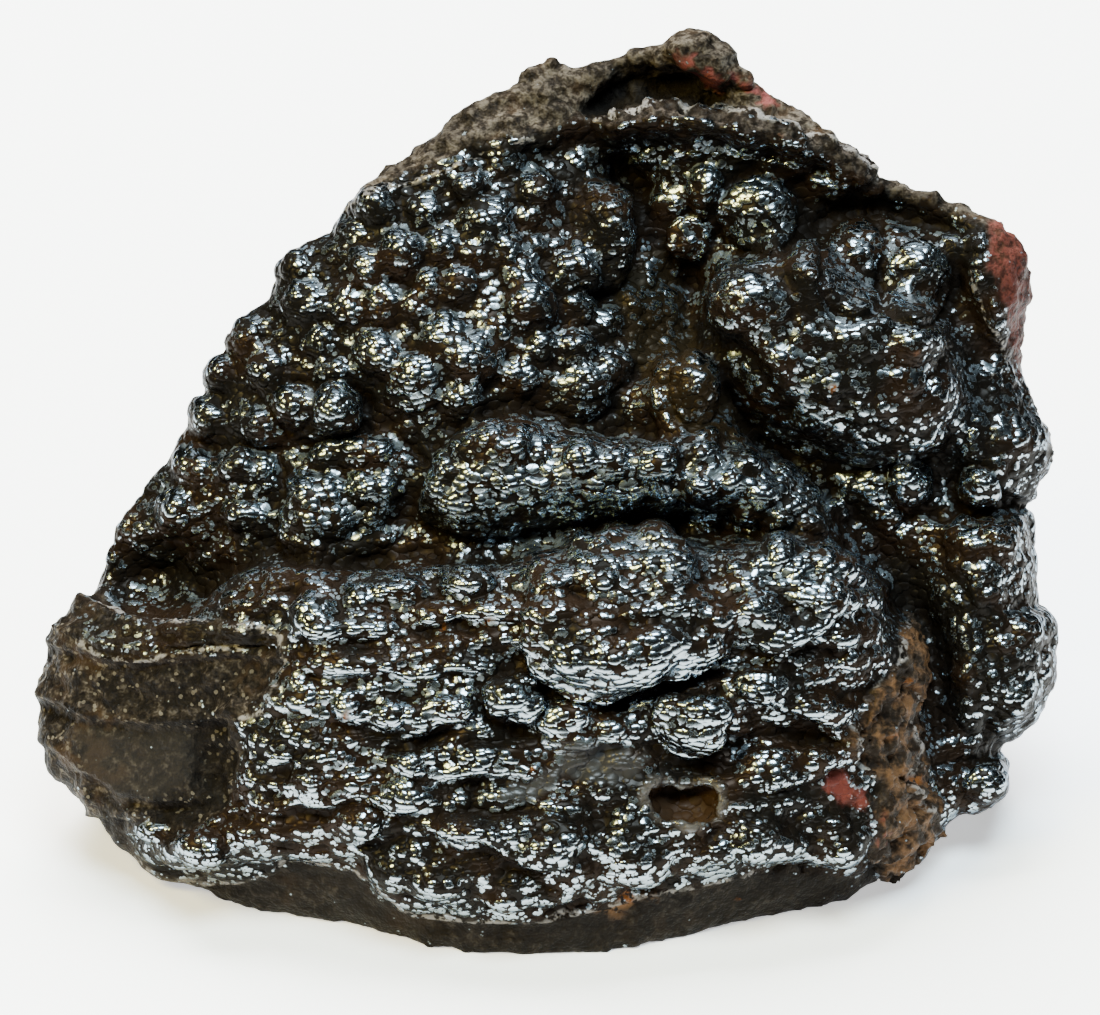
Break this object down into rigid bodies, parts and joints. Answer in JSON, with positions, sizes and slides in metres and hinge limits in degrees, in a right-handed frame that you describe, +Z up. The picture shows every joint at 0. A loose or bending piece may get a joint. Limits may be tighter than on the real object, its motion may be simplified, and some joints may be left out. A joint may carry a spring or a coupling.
{
  "type": "botryoidal hematite specimen",
  "caption": "Broken block of iron ore with a beaded, lobed hematite crust down its front, standing on a flat base.",
  "frame": {"origin": "centre of the bounding box's footprint, on the floor under the flat base", "axes": "+X to the right across the crust, +Y towards the broken back, +Z up"},
  "size_m": [0.1118, 0.0716, 0.0831],
  "materials": {
    "hematite": "natural near-black brown ore with a sub-metallic gloss on the crust, dull brown on broken faces"
  },
  "bodies": {
    "root": {"hematite": "hematite"}
  },
  "joints": []
}
